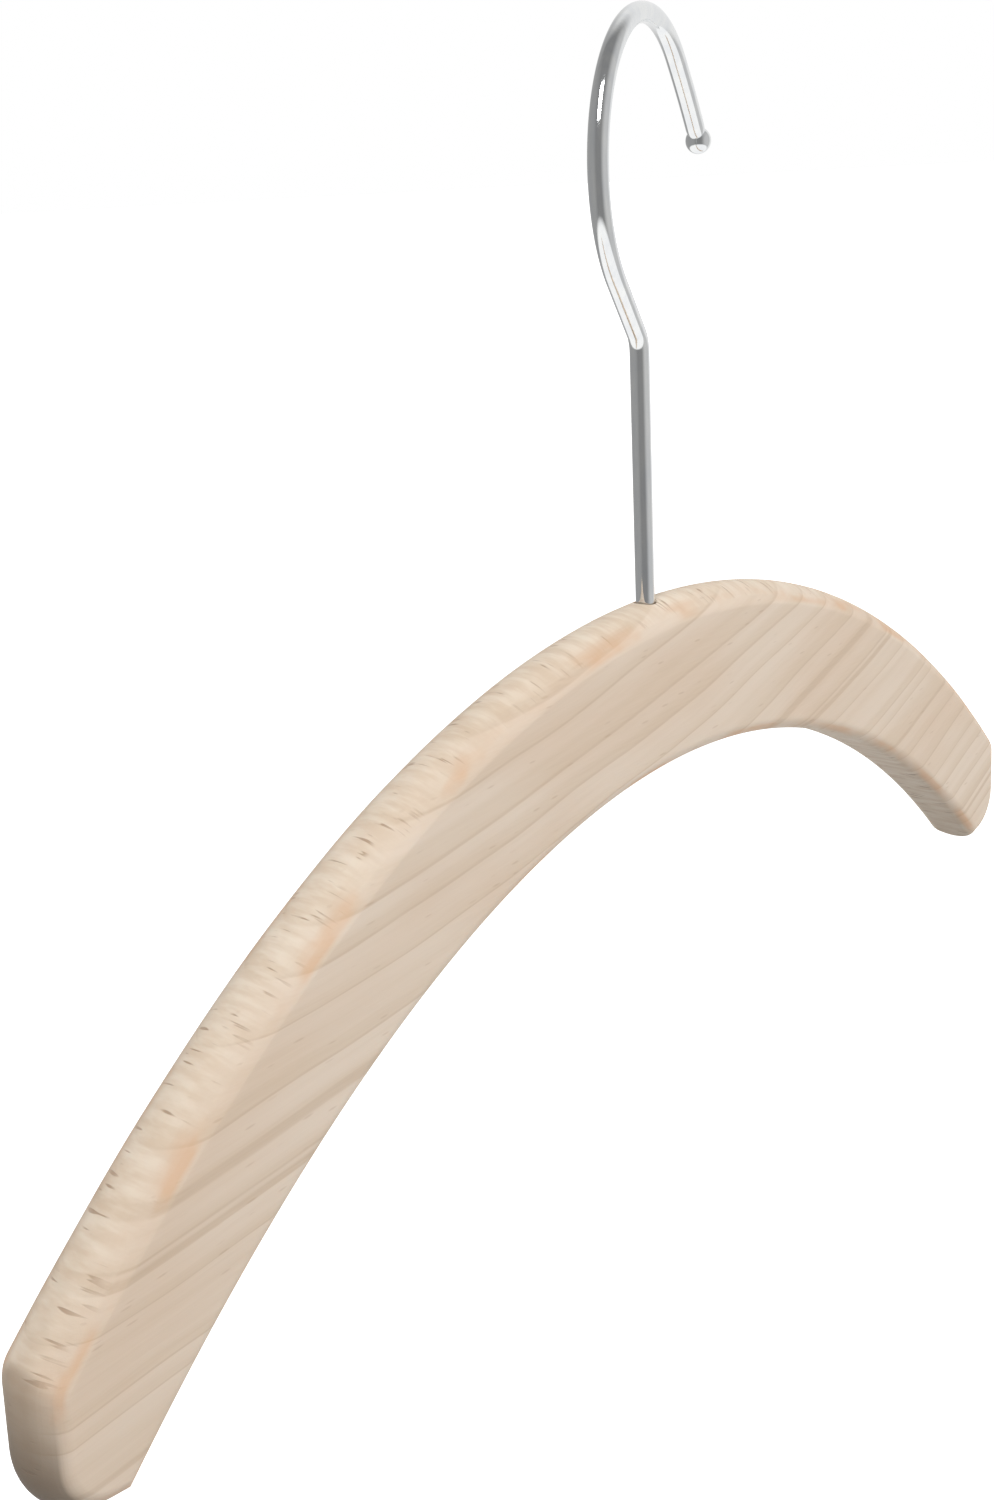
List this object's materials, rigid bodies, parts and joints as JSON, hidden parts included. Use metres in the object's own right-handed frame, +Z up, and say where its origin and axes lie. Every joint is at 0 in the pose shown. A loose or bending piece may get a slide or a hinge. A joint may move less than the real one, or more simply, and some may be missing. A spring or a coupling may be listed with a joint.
{
  "type": "clothes hanger",
  "caption": "Arched solid wood clothes hanger with a turning chromed wire hook.",
  "frame": {"origin": "seat of the rail: inner face of the hook's loop, straight above the stem, on the swivel axis", "axes": "+X along the board towards the side that the hook opens to, -Y the front face, +Z up along the swivel axis"},
  "size_m": [0.3336, 0.02, 0.2142],
  "materials": {
    "beech": "matte",
    "hook_chrome": "polished",
    "washer_zinc": "satin"
  },
  "bodies": {
    "hook": {"swivel_hook": "hook_chrome", "hook_washer": "washer_zinc"},
    "board": {"wooden_board": "beech"}
  },
  "joints": [
    {"name": "swivel", "type": "hinge", "parent": "hook", "child": "board", "pos_m": [0, 0, -0.105], "axis": [0, 0, 1], "continuous": true}
  ]
}
